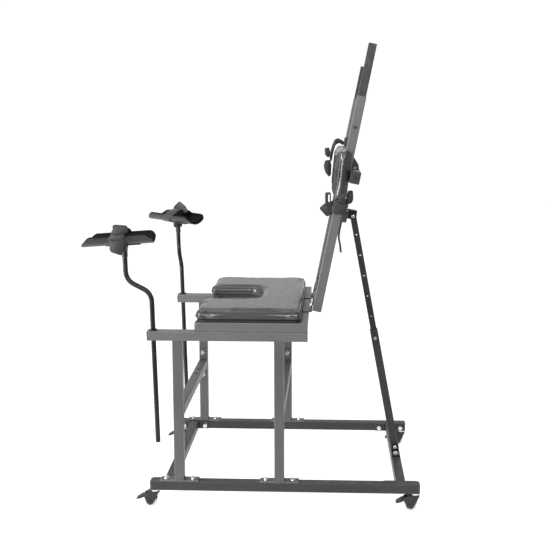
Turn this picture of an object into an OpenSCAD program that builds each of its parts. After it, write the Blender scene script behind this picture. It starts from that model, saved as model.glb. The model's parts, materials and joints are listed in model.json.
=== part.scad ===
// Adjustable positioning chair: a square-tube stand on four braked casters, a wide
// seat with a front cut-out, a hinged back on a telescopic strut and two leg rests.
// Frame: +Z up, floor at Z = 0, X = 0 is the plane of symmetry, the sitter faces -Y.

/* [Frame] */
// Overall width of the tube frame
frame_w = 600; // [520:1:680]
// Length of the base rails without their end caps
rail_len = 894; // [800:1:1000]
// Width and height of the square frame tube
tube = 32; // [28:1:40]
// Wall thickness of the frame tube
wall = 2; // [1.5:0.5:3]
// Underside of the base rails above the floor
rail_z = 62; // [55:1:80]
// Underside of the top rails above the floor
top_z = 576; // [500:1:650]
// Height of the middle of the upper cross tubes
cross_z = 331; // [250:1:420]
// Front uprights, distance of their middle in front of the origin
front_y = 352; // [300:1:400]
// Middle uprights, distance of their middle in front of the origin
mid_y = 17; // [0:1:60]

/* [Seat] */
// Height and width of the seat frame tube
seat_tube = 30; // [25:1:32]
// Seat cushion width
seat_w = 594; // [500:1:600]
// Front edge of the cushion, distance in front of the origin
seat_front = 294; // [260:1:320]
// Rear edge of the cushion behind the origin
seat_rear = 55; // [40:1:60]
// Cushion thickness at its edge
cushion_t = 31; // [20:1:50]
// Thickness of the plywood board below the cushion
board_t = 7; // [5:1:12]
// Half width of the front cut-out
cut_half = 97; // [60:1:120]
// Rear end of the cut-out, distance in front of the origin
cut_end = 97; // [60:1:140]

/* [Back] */
// Height of the recline hinge pin
hinge_z = 643; // [640:0.5:660]
// Distance of the recline hinge pin behind the origin
hinge_y = 84; // [82:0.5:90]
// Lean of the back from vertical in degrees
lean = 11.48; // [5:0.01:20]
// Outer width across the two back bars
bars_w = 440; // [380:1:460]
// Size of the square back bars
bar = 30; // [25:1:32]
// Size of the tubes that telescope in the bars
ext = 26.8; // [20:0.1:27]
// How far the left extension stands out of its bar
ext_left = 169; // [20:1:230]
// How far the right extension stands out of its bar
ext_right = 115; // [20:1:230]
// Width of the shoulder pad
pad_w = 490; // [440:1:520]
// Height of the shoulder pad
pad_h = 160; // [120:1:200]
// Thickness of the shoulder pad
pad_t = 46; // [30:1:50]

/* [Strut] */
// Outer tube of the telescopic strut
strut_out = 28; // [26:1:32]
// Inner tube of the telescopic strut
strut_in = 22; // [20:0.5:24]
// Spacing of the holes along the inner tube
hole_step = 75.4; // [50:0.1:80]

/* [Leg rests] */
// Diameter of the round leg-rest posts
post_d = 16; // [14:0.5:20]
// Sideways step of the bent post
post_step = 82; // [60:1:100]
// Centre-line radius of the post bends
bend_r = 48; // [40:1:60]
// Turn of the left post about its own axis in degrees
left_turn = 0; // [-90:1:90]
// Turn of the right post about its own axis in degrees
right_turn = -74; // [-90:1:90]
// How far the right post is set lower than the left
right_drop = 10; // [0:1:60]
// Length of a leg cradle
cradle_len = 233; // [180:1:260]
// Outside radius of a leg cradle's curve
cradle_r = 62; // [50:1:75]

/* [Casters] */
// Wheel diameter
wheel_d = 40; // [35:1:50]
// Wheel width
wheel_w = 18; // [14:1:22]
// Trail of the wheel behind the swivel stem
trail = 16; // [10:1:24]

/* [Hidden] */
$fn = 40;

half_w = frame_w / 2;
rail_x = half_w - tube / 2;
rail_y = rail_len / 2;
rail_top = rail_z + tube;
inner_x = half_w - tube;
foot_t = 4;
top_rail_y0 = -rail_y;
top_rail_y1 = 74;
seat_z = top_z + tube;
board_z = seat_z + seat_tube;
cushion_z = board_z + board_t + 0.3;
seat_y0 = -290;
low_front_y = -390;
rear_y = 389;
bar_x = bars_w / 2 - bar / 2;
bar_v = 2.8;
bar_u0 = 23;
bar_u1 = 748;
bar_back = bar_v + bar;
ext_len = 357;
pivot_u = 336.9;
pivot_v = 80.8;
strut_y = 388.3;
strut_z = 110.8;
strut_lean = 10.58;
strut_len = 860.9;
outer_len = 441;
lock_s = 414.2;
post_y = -432;
post_z = 592;
post_rake = 1.35;
post_r = post_d / 2;
post_foot = -366;
post_bend = 112;
bend_a = 61.5;
bend_mid = 35.8;
post_top = 282;
pin_z = 292;
caster_y = 436;
axle_z = wheel_d / 2;
steel = [0.42, 0.42, 0.43];
bright = [0.75, 0.75, 0.76];
black = [0.08, 0.08, 0.09];
vinyl = [0.3, 0.3, 0.3];

function arc(cx, cy, r, a0, a1, n = 6) =
  [for (i = [0:n]) let (a = a0 + (a1 - a0) * i / n) [cx + r * cos(a), cy + r * sin(a)]];
function rounded(w, h, r, n = 3) = concat(
  arc(w / 2 - r, h / 2 - r, r, 0, 90, n), arc(r - w / 2, h / 2 - r, r, 90, 180, n),
  arc(r - w / 2, r - h / 2, r, 180, 270, n), arc(w / 2 - r, r - h / 2, r, 270, 360, n));
function flip(p) = [for (i = [len(p) - 1:-1:0]) [-p[i][0], p[i][1]]];
// Half of the seat outline, from the cut-out's end round the front to the rear edge
function half_seat(i) = concat(
  arc(cut_half + i - 60, -cut_end + i - 60, 60, 90, 0, 8),
  arc(cut_half + i + 20, -seat_front + i + 20, 20, 180, 270, 5),
  arc(seat_w / 2 - i - 28, -seat_front + i + 28, 28, 270, 360, 6),
  arc(seat_w / 2 - i - 14, seat_rear - i - 14, 14, 0, 90, 4));

module section(w, h, t) {
  difference() {
    polygon(rounded(w, h, 2.5));
    polygon(rounded(w - 2 * t, h - 2 * t, 1));
  }
}
module tube_x(x0, x1, y, z, w, h, t) {
  translate([x0, y, z]) rotate([90, 0, 90]) linear_extrude(x1 - x0) section(w, h, t);
}
module tube_y(y0, y1, x, z, w, h, t) {
  translate([x, y1, z]) rotate([90, 0, 0]) linear_extrude(y1 - y0) section(w, h, t);
}
module tube_z(z0, z1, x, y, w, h, t) {
  translate([x, y, z0]) linear_extrude(z1 - z0) section(w, h, t);
}
module box(x0, x1, y0, y1, z0, z1) {
  translate([x0, y0, z0]) cube([x1 - x0, y1 - y0, z1 - z0]);
}
// Hexagon bolt with washer: the head stands on z = 0 and the shank goes down
module bolt(shank) {
  cylinder(r = 8.5, h = 1.6);
  translate([0, 0, 1.6]) cylinder(r = 7.4, h = 5.2, $fn = 6);
  translate([0, 0, -shank]) cylinder(r = 4, h = shank);
}
module bolt_hole(shank) {
  translate([0, 0, -shank - 1]) cylinder(r = 4.3, h = shank + 2);
}
module at_foot_bolts(side, y) {
  for (d = [-45, 45]) translate([side * rail_x, y + d, rail_top + foot_t]) children();
}
module at_low_bolts(side, y) {
  for (d = [-42, 42])
    translate([side * (inner_x - foot_t), y + d, rail_z + tube / 2 - 4])
      rotate([0, -side * 90, 0]) children();
}
module at_cross_bolts(side, y) {
  for (d = [-44, 44])
    translate([side * (inner_x - foot_t), y, cross_z + d]) rotate([0, -side * 90, 0]) children();
}
module at_bracket_bolts() {
  for (s = [-1, 1]) translate([s * 50, rear_y, rail_top + foot_t]) children();
}
module in_back() { translate([0, hinge_y, hinge_z]) rotate([-lean, 0, 0]) children(); }
module in_strut() { translate([0, strut_y, strut_z]) rotate([strut_lean, 0, 0]) children(); }
module in_post(side) {
  translate([side * rail_x, post_y, post_z]) rotate([post_rake, 0, 0])
    translate([0, 0, side < 0 ? -right_drop : 0])
      rotate([0, 0, side < 0 ? right_turn : left_turn]) children();
}
module in_bracket(side) {
  in_post(side) translate([0, -post_step, 0])
    rotate([0, 0, side < 0 ? 41 : 0]) children();
}
module in_cradle(side) {
  in_bracket(side) translate([0, 0, pin_z]) rotate([side < 0 ? -3 : 2.7, 0, 0]) children();
}
module in_caster(sx, sy) { translate([sx * rail_x, sy * caster_y, 0]) children(); }

module base_rail(side) {
  color(steel) difference() {
    tube_y(-rail_y, rail_y, side * rail_x, rail_z + tube / 2, tube, tube, wall);
    for (y = [-front_y, -mid_y]) at_foot_bolts(side, y) bolt_hole(16);
    for (y = [low_front_y, rear_y]) at_low_bolts(side, y) bolt_hole(16);
  }
}
module low_cross(y, bracket) {
  color(steel) difference() {
    union() {
      tube_x(foot_t - inner_x, inner_x - foot_t, y, rail_z + tube / 2, tube, tube, wall);
      for (s = [-1, 1])
        box(s * (inner_x - foot_t / 2) - foot_t / 2, s * (inner_x - foot_t / 2) + foot_t / 2,
          y - 56, y + 56, rail_z + 1, rail_top - 1);
    }
    for (s = [-1, 1]) at_low_bolts(s, y) bolt_hole(8);
    if (bracket) at_bracket_bolts() bolt_hole(12);
  }
}
module upright(side, y) {
  color(steel) difference() {
    union() {
      tube_z(rail_top + foot_t, top_z, side * rail_x, y, tube, tube, wall);
      box(side * rail_x - tube / 2, side * rail_x + tube / 2, y - 65, y + 65,
        rail_top, rail_top + foot_t);
    }
    at_foot_bolts(side, y) bolt_hole(6);
    at_cross_bolts(side, y) bolt_hole(16);
  }
}
module upper_cross(y) {
  color(steel) difference() {
    union() {
      tube_x(foot_t - inner_x, inner_x - foot_t, y, cross_z, tube, tube, wall);
      for (s = [-1, 1])
        box(s * (inner_x - foot_t / 2) - foot_t / 2, s * (inner_x - foot_t / 2) + foot_t / 2,
          y - 15, y + 15, cross_z - 60, cross_z + 60);
    }
    for (s = [-1, 1]) at_cross_bolts(s, y) bolt_hole(8);
    for (x = [-150, -95]) box(x, x + 22, y - 3, y + 3, cross_z, cross_z + tube);
  }
}
module top_rail(side) {
  color(steel) difference() {
    tube_y(top_rail_y0, top_rail_y1, side * rail_x, top_z + tube / 2, tube, tube, wall);
    translate([side * rail_x, post_y, post_z]) rotate([post_rake, 0, 0])
      translate([0, 0, -30]) cylinder(r = 11.35, h = 60);
  }
}
// Plastic end plug: a flange of the given size with a plug that enters the tube
module plug(w, h, t, flange) {
  translate([0, 0, 0]) linear_extrude(flange) polygon(rounded(w, h, 3.5));
  translate([0, 0, -5]) linear_extrude(5) polygon(rounded(w - 2 * t - 0.2, h - 2 * t - 0.2, 1));
}
module frame_tube_caps() {
  color(black) {
    for (s = [-1, 1], e = [-1, 1])
      translate([s * rail_x, e * rail_y, rail_z + tube / 2])
        rotate([-e * 90, 0, 0]) plug(tube, tube, wall, 4);
    for (s = [-1, 1]) {
      difference() {
        translate([s * rail_x, top_rail_y0, top_z + tube / 2])
          rotate([90, 0, 0]) plug(tube, tube, wall, 4);
        in_front_screw(s) translate([0, 0, -20]) cylinder(r = 3.05, h = 40);
        translate([s * rail_x, post_y, post_z]) rotate([post_rake, 0, 0])
          translate([0, 0, -30]) cylinder(r = 11.35, h = 60);
      }
      translate([s * rail_x, top_rail_y1, top_z + tube / 2])
        rotate([-90, 0, 0]) plug(tube, tube, wall, 3);
      translate([s * (half_w - seat_tube / 2), top_rail_y1, seat_z + seat_tube / 2])
        rotate([-90, 0, 0]) plug(seat_tube, seat_tube, wall, 3);
      translate([s * (half_w - seat_tube / 2), seat_y0, seat_z + seat_tube / 2])
        rotate([90, 0, 0]) plug(seat_tube, seat_tube, wall, 3);
    }
  }
}
module frame_bolts() {
  color(bright) {
    for (s = [-1, 1]) {
      for (y = [-front_y, -mid_y]) {
        at_foot_bolts(s, y) bolt(12);
        at_cross_bolts(s, y) bolt(12);
      }
      for (y = [low_front_y, rear_y]) at_low_bolts(s, y) bolt(12);
    }
    at_bracket_bolts() bolt(9);
    // Pivot bolt of the strut, through both ears of its base bracket
    translate([0, strut_y, strut_z]) rotate([0, 90, 0]) {
      translate([0, 0, -19]) cylinder(r = 4, h = 38);
      translate([0, 0, 18.6]) cylinder(r = 7.4, h = 5.2, $fn = 6);
      translate([0, 0, -24.6]) cylinder(r = 7.4, h = 6, $fn = 6);
    }
  }
}
module seat_side_tubes() {
  color(steel) for (s = [-1, 1])
    tube_y(seat_y0, top_rail_y1, s * (half_w - seat_tube / 2), seat_z + seat_tube / 2,
      seat_tube, seat_tube, wall);
}
module seat_cross_tubes() {
  x = half_w - seat_tube;
  y0 = seat_y0 - 3 + seat_tube;
  y1 = top_rail_y1 + 2 - seat_tube;
  color(steel) {
    tube_x(-x, x, y0 - seat_tube / 2, seat_z + seat_tube / 2, seat_tube, seat_tube, wall);
    tube_x(-x, x, y1 + seat_tube / 2, seat_z + seat_tube / 2, seat_tube, seat_tube, wall);
    for (s = [-1, 1])
      tube_y(y0, y1, s * 137, seat_z + seat_tube / 2, seat_tube, seat_tube, wall);
  }
}
module seat_board() {
  color([0.2, 0.17, 0.14]) translate([0, 0, board_z]) linear_extrude(board_t)
    polygon(concat(half_seat(6), flip(half_seat(6))));
}
module seat_cushion() {
  color(vinyl) translate([0, 0, cushion_z]) linear_extrude(cushion_t)
    polygon(concat(half_seat(0), flip(half_seat(0))));
}
// Knuckle of a butt hinge along X, bored for the pin
module knuckle(x0, x1) {
  translate([x0, 0, 0]) rotate([0, 90, 0]) cylinder(r = 4.8, h = x1 - x0);
}
module pin_bore(r) { translate([-40, 0, 0]) rotate([0, 90, 0]) cylinder(r = r, h = 80); }
module seat_hinge_leaves() {
  color(bright) for (s = [-1, 1]) translate([s * 106, hinge_y, hinge_z]) difference() {
    union() {
      box(-31, 31, -32, -4.4, board_z - hinge_z, board_z - hinge_z + 3);
      knuckle(-31, -10.8);
      knuckle(10.8, 31);
      for (q = [-31, 10.8]) box(q, q + 20.2, -5, -2.5, board_z - hinge_z, board_z - hinge_z + 3);
    }
    pin_bore(2.05);
    for (d = [-20, 20]) translate([d, -20, -6]) cylinder(r = 2.5, h = 10);
  }
}
module back_hinge_leaves() {
  color(bright) for (s = [-1, 1]) in_back() translate([s * 106, 0, 0]) {
    difference() {
      union() {
        knuckle(-10.5, 10.5);
        box(-10.5, 10.5, bar_v - 3, bar_v, 0, 12);
        box(-31, 31, bar_v - 3, bar_v, 8, 46);
      }
      pin_bore(2.05);
    }
    translate([-32, 0, 0]) rotate([0, 90, 0]) cylinder(r = 2, h = 64);
  }
}
module strut_base_bracket() {
  color(black) difference() {
    union() {
      box(-64, 64, rear_y - 15, rear_y + 15, rail_top, rail_top + foot_t);
      for (s = [-1, 1]) {
        x0 = min(s * 14.4, s * 18.4);
        box(x0, x0 + 4, strut_y - 12, strut_y + 12, rail_top + 2, strut_z);
        translate([x0, strut_y, strut_z]) rotate([0, 90, 0]) cylinder(r = 12, h = 4);
      }
    }
    translate([-30, strut_y, strut_z]) rotate([0, 90, 0]) cylinder(r = 4.05, h = 60);
    at_bracket_bolts() bolt_hole(12);
  }
}
module caster_stems() {
  color(bright) for (x = [-1, 1], y = [-1, 1]) in_caster(x, y) {
    translate([0, 0, 57]) cylinder(r = 15, h = rail_z - 57);
    translate([0, 0, 48]) cylinder(r = 5, h = 10);
    translate([0, 0, 46.4]) cylinder(r = 7.5, h = 3);
  }
}

module back_bar(side) {
  color(steel) in_back() {
    difference() {
      tube_z(bar_u0, bar_u1, side * bar_x, bar_v + bar / 2, bar, bar, 1.4);
      translate([side * (bar_x + 10), bar_v + bar / 2, 645]) rotate([0, side * 90, 0])
        cylinder(r = 3.1, h = 10);
    }
    translate([side * bar_x, bar_v + bar / 2, bar_u0]) rotate([180, 0, 0])
      plug(bar, bar, 1.4, 2.5);
  }
}
module back_lower_cross_tube() {
  color(steel) in_back()
    tube_x(bar / 2 - bar_x, bar_x - bar / 2, bar_v + bar / 2, bar_u0 + 15, bar, bar, 1.5);
}
module strut_cross_tube() {
  color(steel) in_back() {
    tube_x(4 - bars_w / 2, bars_w / 2 - 4, bar_back + 10, 352, 20, 38, 1.5);
    for (s = [-1, 1]) translate([s * (bars_w / 2 - 4), bar_back + 10, 352])
      rotate([90, 0, 90 * s]) plug(20, 38, 1.5, 3);
  }
}
module pad_cross_tube() {
  color(steel) in_back() {
    tube_x(3 - pad_w / 2, pad_w / 2 - 3, bar_back + 17, 486, 34, 40, 2);
    difference() {
      for (s = [-1, 1]) translate([s * (pad_w / 2 - 3), bar_back + 17, 486])
        rotate([90, 0, 90 * s]) plug(34, 40, 2, 3);
      translate([-280, bar_back + 17, 486]) rotate([0, 90, 0]) cylinder(r = 3.3, h = 560);
    }
    // Wedge blocks that carry the pad
    for (s = [-1, 1])
      flat(s * 120 - 15, s * 120 + 15, [[bar_back, 486], [bar_back, 504], [29.3, 504], [31.1, 486]]);
  }
}
module shoulder_pad() {
  color(vinyl) in_back() difference() {
    translate([-pad_w / 2, -7.6, 404]) rotate([5.7, 0, 0])
      rotate([90, 0, 90]) linear_extrude(pad_w)
        translate([pad_t / 2, pad_h / 2]) polygon(rounded(pad_t, pad_h, 12, 5));
    for (s = [-1, 1]) box(s * bar_x - 17, s * bar_x + 17, 1.5, 60, 380, 600);
  }
}
module strut_top_bracket() {
  color(black) in_back() difference() {
    union() {
      box(-18.5, 18.5, bar_back + 20, bar_back + 24, 326, 371);
      for (s = [-1, 1]) {
        x0 = min(s * 14.5, s * 18.5);
        box(x0, x0 + 4, bar_back + 20, pivot_v, 325, 356);
        translate([x0, pivot_v, 340.5]) rotate([0, 90, 0]) cylinder(r = 12, h = 4);
        box(x0, x0 + 4, pivot_v - 5, pivot_v + 11, 336, 356);
      }
    }
    translate([-30, pivot_v, pivot_u]) rotate([0, 90, 0]) cylinder(r = 4.05, h = 60);
  }
}
module back_fasteners() {
  color(bright) in_back() {
    // Pivot bolt of the strut's upper end
    translate([0, pivot_v, pivot_u]) rotate([0, 90, 0]) {
      translate([0, 0, -19]) cylinder(r = 4, h = 38);
      translate([0, 0, 18.7]) cylinder(r = 7.4, h = 5.2, $fn = 6);
      translate([0, 0, -24.7]) cylinder(r = 7.4, h = 6, $fn = 6);
    }
    // Set screws of the extension tubes and screws in the pad tube's end plugs
    for (s = [-1, 1]) {
      translate([s * 218.9, bar_v + bar / 2, 645]) rotate([0, s * 90, 0]) {
        cylinder(r = 3, h = 1.1);
        translate([0, 0, 1.1]) cylinder(r = 4.5, h = 2);
      }
      translate([s * (pad_w / 2 - 10), bar_back + 17, 486]) rotate([0, s * 90, 0]) {
        cylinder(r = 3, h = 10);
        translate([0, 0, 10]) cylinder(r = 5, h = 2.5);
      }
    }
  }
}
// Webbing band round a back bar, between two heights
module bar_band(side, u0, u1) {
  translate([side * bar_x, bar_v + bar / 2, u0]) linear_extrude(u1 - u0) difference() {
    polygon(rounded(bar + 6.8, bar + 6.8, 4));
    polygon(rounded(bar + 0.8, bar + 0.8, 2.6));
  }
}
module flat(x0, x1, pts) {
  translate([x0, 0, 0]) rotate([90, 0, 90]) linear_extrude(x1 - x0) polygon(pts);
}
module wrist_straps() {
  color(black) in_back() {
    // Left cuff, low on its bar
    difference() {
      bar_band(1, 358, 402);
      box(180, 226.2, 32.6, 60, 350, 371.4);
    }
    flat(200, 211, [[-0.4, 399], [-28, 382], [-44, 362], [-14, 339], [-0.4, 358]]);
    difference() {
      flat(197, 213, [[-26.8, 376], [-35.8, 416], [-16.5, 420], [-8.2, 380]]);
      flat(190, 220, [[-17.4, 384], [-23, 412], [-19, 413], [-13.4, 385]]);
    }
    flat(223, 227.8, [[2, 372], [36, 372], [36, 401.5], [2, 401.5]]);
    flat(227, 247.8, [[12, 397.6], [34, 397.6], [34, 400.4], [12, 400.4]]);
    flat(245.3, 247.8, [[12, 397.6], [34, 397.6], [29, 431], [19, 429]]);
    flat(199, 217, [[36.3, 402], [36.3, 386], [58, 400], [53, 441], [36.3, 438]]);
    flat(152, 178, [[34, 332.7], [40, 332.7], [43, 282], [54, 249], [60, 226], [55, 225],
      [47, 247], [36, 281]]);
    // Guide loop on the left bar above the pad's cross tube
    difference() {
      flat(198, 214, [[32.9, 507], [58, 512], [54, 528], [34, 552]]);
      flat(190, 220, [[38.5, 511.5], [50.5, 514], [44.5, 522]]);
    }
    // Right cuff, above the shoulder pad
    bar_band(-1, 569, 596);
    flat(-214, -196, [[-0.4, 580], [-10, 584], [-24, 589], [-36, 581], [-41, 555], [-43, 524],
      [-37, 499], [-30, 500], [-31, 534], [-29, 562], [-17, 573], [-0.4, 567]]);
    flat(-216, -194, [[-41, 530], [-50, 548], [-66, 542], [-59, 517], [-48, 511], [-40, 514]]);
    flat(-218, -192, [[-55, 497], [-36, 503], [-28, 485], [-22, 448], [-28, 439], [-46, 454],
      [-56, 475]]);
  }
}
module extension(side, out) {
  color([0.25, 0.25, 0.26]) in_back()
    translate([side * bar_x, bar_v + bar / 2, bar_u1 + out]) {
      translate([0, 0, -ext_len]) linear_extrude(ext_len) section(ext, ext, 1.5);
      plug(ext, ext, 1.5, 3);
    }
}
module strut_outer_tube() {
  color(steel) in_strut() difference() {
    union() {
      tube_z(-9, outer_len, 0, 0, strut_out, strut_out, 2.7);
      translate([13.5, 0, lock_s]) rotate([0, 90, 0]) cylinder(r = 7, h = 5.5);
    }
    translate([-30, 0, 0]) rotate([0, 90, 0]) cylinder(r = 4.05, h = 60);
    translate([5, 0, lock_s]) rotate([0, 90, 0]) cylinder(r = 3.05, h = 20);
  }
}
module strut_inner_tube() {
  color([0.3, 0.3, 0.31]) in_strut() difference() {
    tube_z(150, strut_len + 14, 0, 0, strut_in, strut_in, 2);
    for (k = [-3:5]) translate([-20, 0, lock_s + k * hole_step]) rotate([0, 90, 0])
      cylinder(r = 3.7, h = 40);
    for (d = [-2.6, 2.6]) translate([-20, 0, strut_len + d]) rotate([0, 90, 0])
      cylinder(r = 7, h = 40);
  }
}
module strut_lock_pin() {
  color(bright) in_strut() translate([0, 0, lock_s]) rotate([0, 90, 0]) {
    translate([0, 0, 11.4]) cylinder(r = 3, h = 9);
    translate([0, 0, 19.4]) cylinder(r = 5.5, h = 9);
  }
}
module post_bushing(side) {
  color(black) in_post(side) translate([0, 0, side < 0 ? right_drop : 0]) difference() {
    union() {
      translate([0, 0, -14]) cylinder(r = 11, h = 30.5);
      translate([0, 0, 16.9]) cylinder(r = 13.5, h = 2.4);
      translate([0, 0, 16]) cylinder(r = 11, h = 1.5);
    }
    translate([0, 0, -30]) cylinder(r = post_r + 0.05, h = 60);
  }
}
module bend(a) {
  rotate([90, 0, 90]) rotate_extrude(angle = a) translate([bend_r, 0]) circle(r = post_r);
}
module leg_post(side) {
  color(black) in_post(side) {
    translate([0, 0, post_foot]) cylinder(r = post_r, h = post_bend - post_foot);
    translate([0, -bend_r, post_bend]) bend(bend_a);
    translate([0, -bend_r * (1 - cos(bend_a)), post_bend + bend_r * sin(bend_a)])
      rotate([bend_a, 0, 0]) {
        cylinder(r = post_r, h = bend_mid);
        translate([0, bend_r, bend_mid]) mirror([0, 1, 0]) bend(bend_a);
      }
    translate([0, -post_step, post_bend + 2 * bend_r * sin(bend_a) + bend_mid * cos(bend_a)])
      cylinder(r = post_r, h = post_top - post_bend - 2 * bend_r * sin(bend_a)
        - bend_mid * cos(bend_a));
  }
}
module cradle_bracket(side) {
  color(black) in_bracket(side) difference() {
    union() {
      translate([0, 0, 262]) cylinder(r = 9.6, h = 23);
      translate([-12, 0, pin_z]) rotate([0, 90, 0]) cylinder(r = 9, h = 24);
      box(-12, 12, -9, 9, 283, pin_z);
    }
    translate([0, 0, 240]) cylinder(r = post_r + 0.05, h = post_top + 0.4 - 240);
    translate([-20, 0, pin_z]) rotate([0, 90, 0]) cylinder(r = 3.05, h = 40);
  }
}
module cradle_shell(side) {
  zc = 11 + cradle_r;
  y0 = -135;
  color(black) in_cradle(side) {
    difference() {
      union() {
        difference() {
          translate([0, y0 + cradle_len, zc]) rotate([90, 0, 0])
            cylinder(r = cradle_r, h = cradle_len, $fn = 72);
          translate([0, y0 + cradle_len + 1, zc]) rotate([90, 0, 0])
            cylinder(r = cradle_r - 4, h = cradle_len + 2, $fn = 72);
          box(-70, 70, y0 - 1, y0 + cradle_len + 1, 44, 140);
          translate([-70, y0, 16]) rotate([40, 0, 0]) translate([0, -60, 0]) cube([140, 120, 60]);
          translate([-70, y0 + cradle_len, 30]) rotate([-45, 0, 0])
            translate([0, -30, 0]) cube([140, 60, 60]);
        }
        box(-16, 16, 12, 56, 9, 13);
        for (s = [-1, 1]) {
          x0 = min(s * 12.3, s * 16.3);
          translate([x0, 0, 0]) rotate([0, 90, 0]) cylinder(r = 9, h = 4);
          box(x0, x0 + 4, -9, 9, 0, 14.4);
        }
      }
      translate([-20, 0, 0]) rotate([0, 90, 0]) cylinder(r = 3.05, h = 40);
    }
    rotate([0, 90, 0]) {
      translate([0, 0, -18]) cylinder(r = 3, h = 36);
      for (q = [-19.5, 16.6]) translate([0, 0, q]) cylinder(r = 5, h = 2.9);
    }
  }
}
// Band across a cradle between two y places, as a ring about a centre height
module ring(z, r, t, y0, y1, z0, z1) {
  intersection() {
    translate([0, y1, z]) rotate([90, 0, 0]) difference() {
      cylinder(r = r + t, h = y1 - y0, $fn = 72);
      translate([0, 0, -1]) cylinder(r = r, h = y1 - y0 + 2, $fn = 72);
    }
    box(-80, 80, y0 - 1, y1 + 1, z0, z1);
  }
}
module leg_strap(side) {
  color(black) in_cradle(side) {
    ring(11 + cradle_r, cradle_r + 0.4, 2.8, -56, -10, 0, 45);
    if (side > 0) {
      ring(-30, 92.3, 2, -30, 16, 42, 90);
      flat(36.5, 41, [[-22, 52], [-22, 78], [-16, 83], [21, 78], [27, 73], [25, 52]]);
      flat(57.2, 59.8, [[-29, 46], [19, 46], [16, 17], [5, -17.5], [-34, -1]]);
    }
    if (side < 0) {
      ring(-30, 92.3, 2, -20, 26, 42, 90);
      flat(-2.5, 2.5, [[-16, 62.8], [-21, 70], [11, 97], [41, 79.5], [56, 58], [50, 53], [26.1, 56], [26, 62.8]]);
    }
  }
}
module in_front_screw(side) {
  translate([side * rail_x, top_rail_y0 - 4, top_z + tube / 2]) rotate([90, 0, 0]) children();
}
module clamp_screw(side) {
  color(bright) in_front_screw(side) {
    translate([0, 0, -7.2]) cylinder(r = 3, h = 8);
    translate([0, 0, 0.3]) cylinder(r = 5.2, h = 6);
  }
}
module caster_fork(sx, sy) {
  color(black) in_caster(sx, sy) {
    difference() {
      union() {
        translate([0, 0, 50]) cylinder(r = 15, h = 6.7);
        for (s = [-1, 1]) flat(min(s * 11, s * 13.6), min(s * 11, s * 13.6) + 2.6,
          [[14, 55], [-16, 55], [-38, 46], [-36, 36], [-27, 15], [-17, 9], [-8, 12], [3, 30]]);
        box(-13, 13, -26, 13, 50, 54);
      }
      translate([0, 0, 40]) cylinder(r = 5.08, h = 30);
      translate([-20, -trail, axle_z]) rotate([0, 90, 0]) cylinder(r = 3.55, h = 40);
      translate([-20, -32, 41]) rotate([0, 90, 0]) cylinder(r = 2.05, h = 40);
    }
    translate([-14.5, -trail, axle_z]) rotate([0, 90, 0]) {
      cylinder(r = 3.5, h = 29);
      translate([0, 0, -1.5]) cylinder(r = 5.5, h = 2.2);
      translate([0, 0, 28.3]) cylinder(r = 5.5, h = 2.2);
    }
  }
}
module caster_wheel(sx, sy) {
  color([0.75, 0.75, 0.74]) in_caster(sx, sy) translate([-wheel_w / 2, -trail, axle_z])
    rotate([0, 90, 0]) difference() {
      union() {
        translate([0, 0, 1.5]) cylinder(r = wheel_d / 2, h = wheel_w - 3, $fn = 64);
        cylinder(r = wheel_d / 2 - 1.5, h = wheel_w, $fn = 64);
      }
      translate([0, 0, -1]) cylinder(r = 3.56, h = wheel_w + 2);
      for (z = [-1, wheel_w - 1.5]) translate([0, 0, z]) difference() {
        cylinder(r = 14.5, h = 2.5);
        translate([0, 0, -1]) cylinder(r = 7, h = 5);
      }
    }
}
module caster_pedal(sx, sy) {
  color(black) in_caster(sx, sy) {
    difference() {
      union() {
        translate([-10.4, -32, 41]) rotate([0, 90, 0]) cylinder(r = 4, h = 20.8);
        flat(-10.4, 10.4, [[-31, 45], [-45, 42], [-63, 31], [-64, 27], [-52, 29], [-33, 37]]);
      }
      translate([-20, -32, 41]) rotate([0, 90, 0]) cylinder(r = 2.05, h = 40);
    }
    translate([-13.6, -32, 41]) rotate([0, 90, 0]) cylinder(r = 2, h = 27.2);
  }
}

base_rail(1);  // left_base_rail
base_rail(-1);  // right_base_rail
low_cross(low_front_y, false);  // front_lower_cross_tube
low_cross(rear_y, true);  // rear_cross_tube
upright(1, -front_y);  // left_front_upright
upright(-1, -front_y);  // right_front_upright
upright(1, -mid_y);  // left_mid_upright
upright(-1, -mid_y);  // right_mid_upright
upper_cross(-front_y);  // front_upper_cross_tube
upper_cross(-mid_y);  // mid_upper_cross_tube
top_rail(1);  // left_top_rail
top_rail(-1);  // right_top_rail
frame_tube_caps();
frame_bolts();
seat_side_tubes();
seat_cross_tubes();
seat_board();
seat_cushion();
seat_hinge_leaves();
strut_base_bracket();
caster_stems();
back_bar(1);  // left_back_bar
back_bar(-1);  // right_back_bar
back_lower_cross_tube();
strut_cross_tube();
pad_cross_tube();
back_hinge_leaves();
shoulder_pad();
strut_top_bracket();
back_fasteners();
wrist_straps();
extension(1, ext_left);  // left_extension_tube
extension(-1, ext_right);  // right_extension_tube
strut_outer_tube();
strut_inner_tube();
strut_lock_pin();
post_bushing(1);  // left_post_bushing
post_bushing(-1);  // right_post_bushing
leg_post(1);  // left_leg_post
leg_post(-1);  // right_leg_post
cradle_bracket(1);  // left_cradle_bracket
cradle_bracket(-1);  // right_cradle_bracket
cradle_shell(1);  // left_cradle_shell
cradle_shell(-1);  // right_cradle_shell
leg_strap(1);  // left_leg_strap
leg_strap(-1);  // right_leg_strap
clamp_screw(1);  // left_clamp_screw
clamp_screw(-1);  // right_clamp_screw
caster_fork(1, -1);  // caster_fork_fl
caster_fork(-1, -1);  // caster_fork_fr
caster_fork(1, 1);  // caster_fork_rl
caster_fork(-1, 1);  // caster_fork_rr
caster_wheel(1, -1);  // caster_wheel_fl
caster_wheel(-1, -1);  // caster_wheel_fr
caster_wheel(1, 1);  // caster_wheel_rl
caster_wheel(-1, 1);  // caster_wheel_rr
caster_pedal(1, -1);  // caster_pedal_fl
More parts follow.
